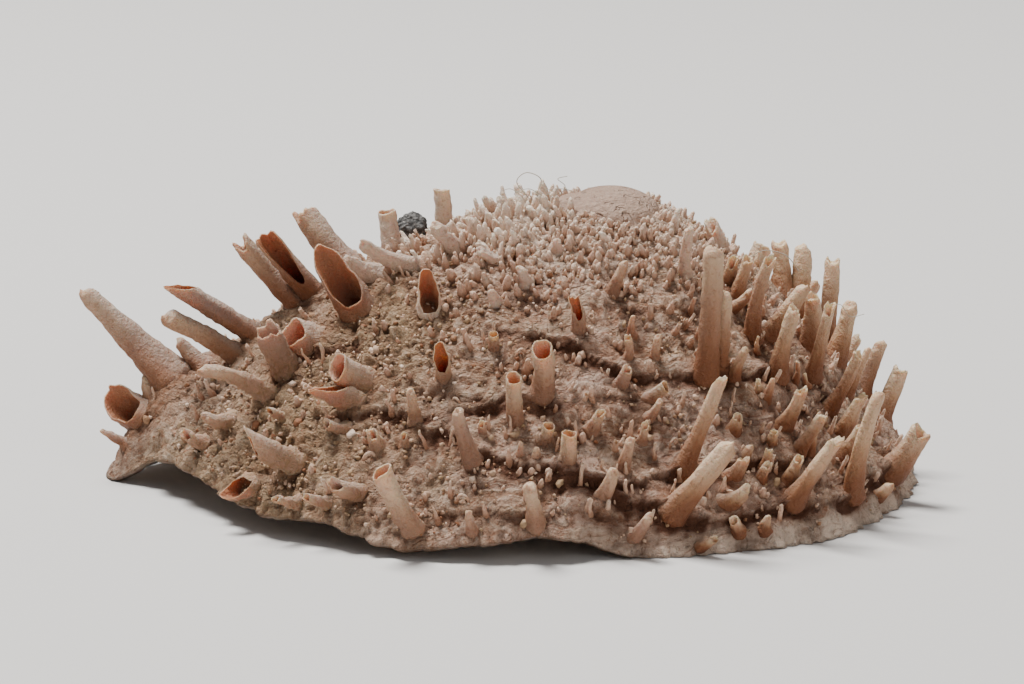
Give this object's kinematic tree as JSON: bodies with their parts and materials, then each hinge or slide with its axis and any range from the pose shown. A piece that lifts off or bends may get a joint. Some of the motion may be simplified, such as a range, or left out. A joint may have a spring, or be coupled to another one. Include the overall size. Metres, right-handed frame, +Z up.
{
  "type": "spiny cup-and-saucer shell",
  "caption": "Low conical sea shell with an off-centre knob, hollow tubular spines, a wavy rim and a small cup hanging inside; a grain of grit is wedged behind one ridge.",
  "frame": {"origin": "on the ground, under the centre of the shell's box, spine tips included", "axes": "+Z up, -Y towards the front that carries the short tubes, -X towards the projecting rim tip and the long quills, +X towards the side with the apex"},
  "size_m": [0.0355, 0.0312, 0.0123],
  "materials": {
    "shell": "dull, chalky shell carbonate, sandy between the spines and translucent amber on the spines",
    "grit": "rough dark grey grain"
  },
  "bodies": {
    "root": {"shell": "shell", "grit_grain": "grit"}
  },
  "joints": []
}
